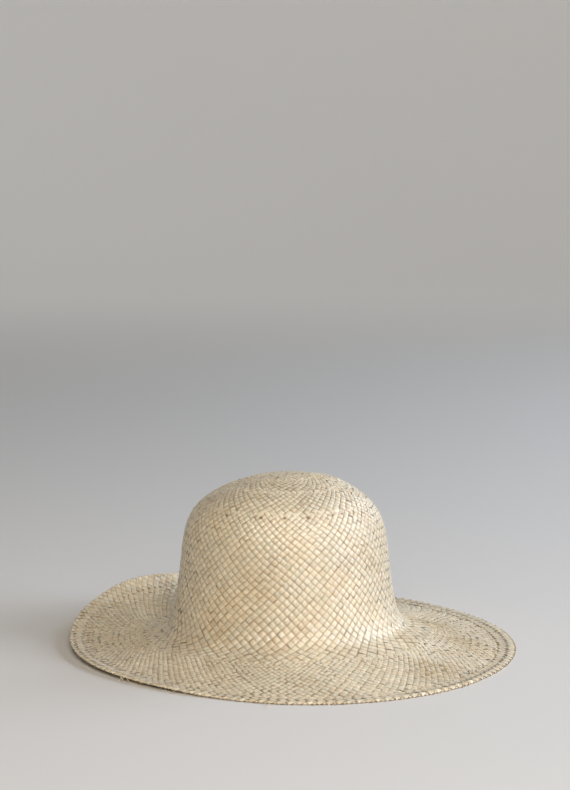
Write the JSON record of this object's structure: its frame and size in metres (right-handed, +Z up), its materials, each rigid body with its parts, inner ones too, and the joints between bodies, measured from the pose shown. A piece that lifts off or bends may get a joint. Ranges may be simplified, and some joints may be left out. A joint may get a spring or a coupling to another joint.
{
  "type": "woven straw hat",
  "caption": "Wide-brimmed straw hat woven of flat palm strips: a rounded open crown, a softly waved brim curled up at the back left, and a turned edge.",
  "frame": {"origin": "on the floor under the middle of the brim's extent", "axes": "+Z up, towards the crown's tip; -Y the front as pictured; +X the hat's right in the picture"},
  "size_m": [0.3928, 0.3996, 0.153],
  "materials": {
    "crown_straw": "dry woven palm straw, cream to beige, soft satin shine",
    "brim_straw": "dry woven palm straw in narrower strips, cream to beige, soft satin shine",
    "edge_straw": "doubled palm straw, pale, soft satin shine"
  },
  "bodies": {
    "root": {"crown": "crown_straw", "brim": "brim_straw", "turned_edge": "edge_straw"}
  },
  "joints": []
}
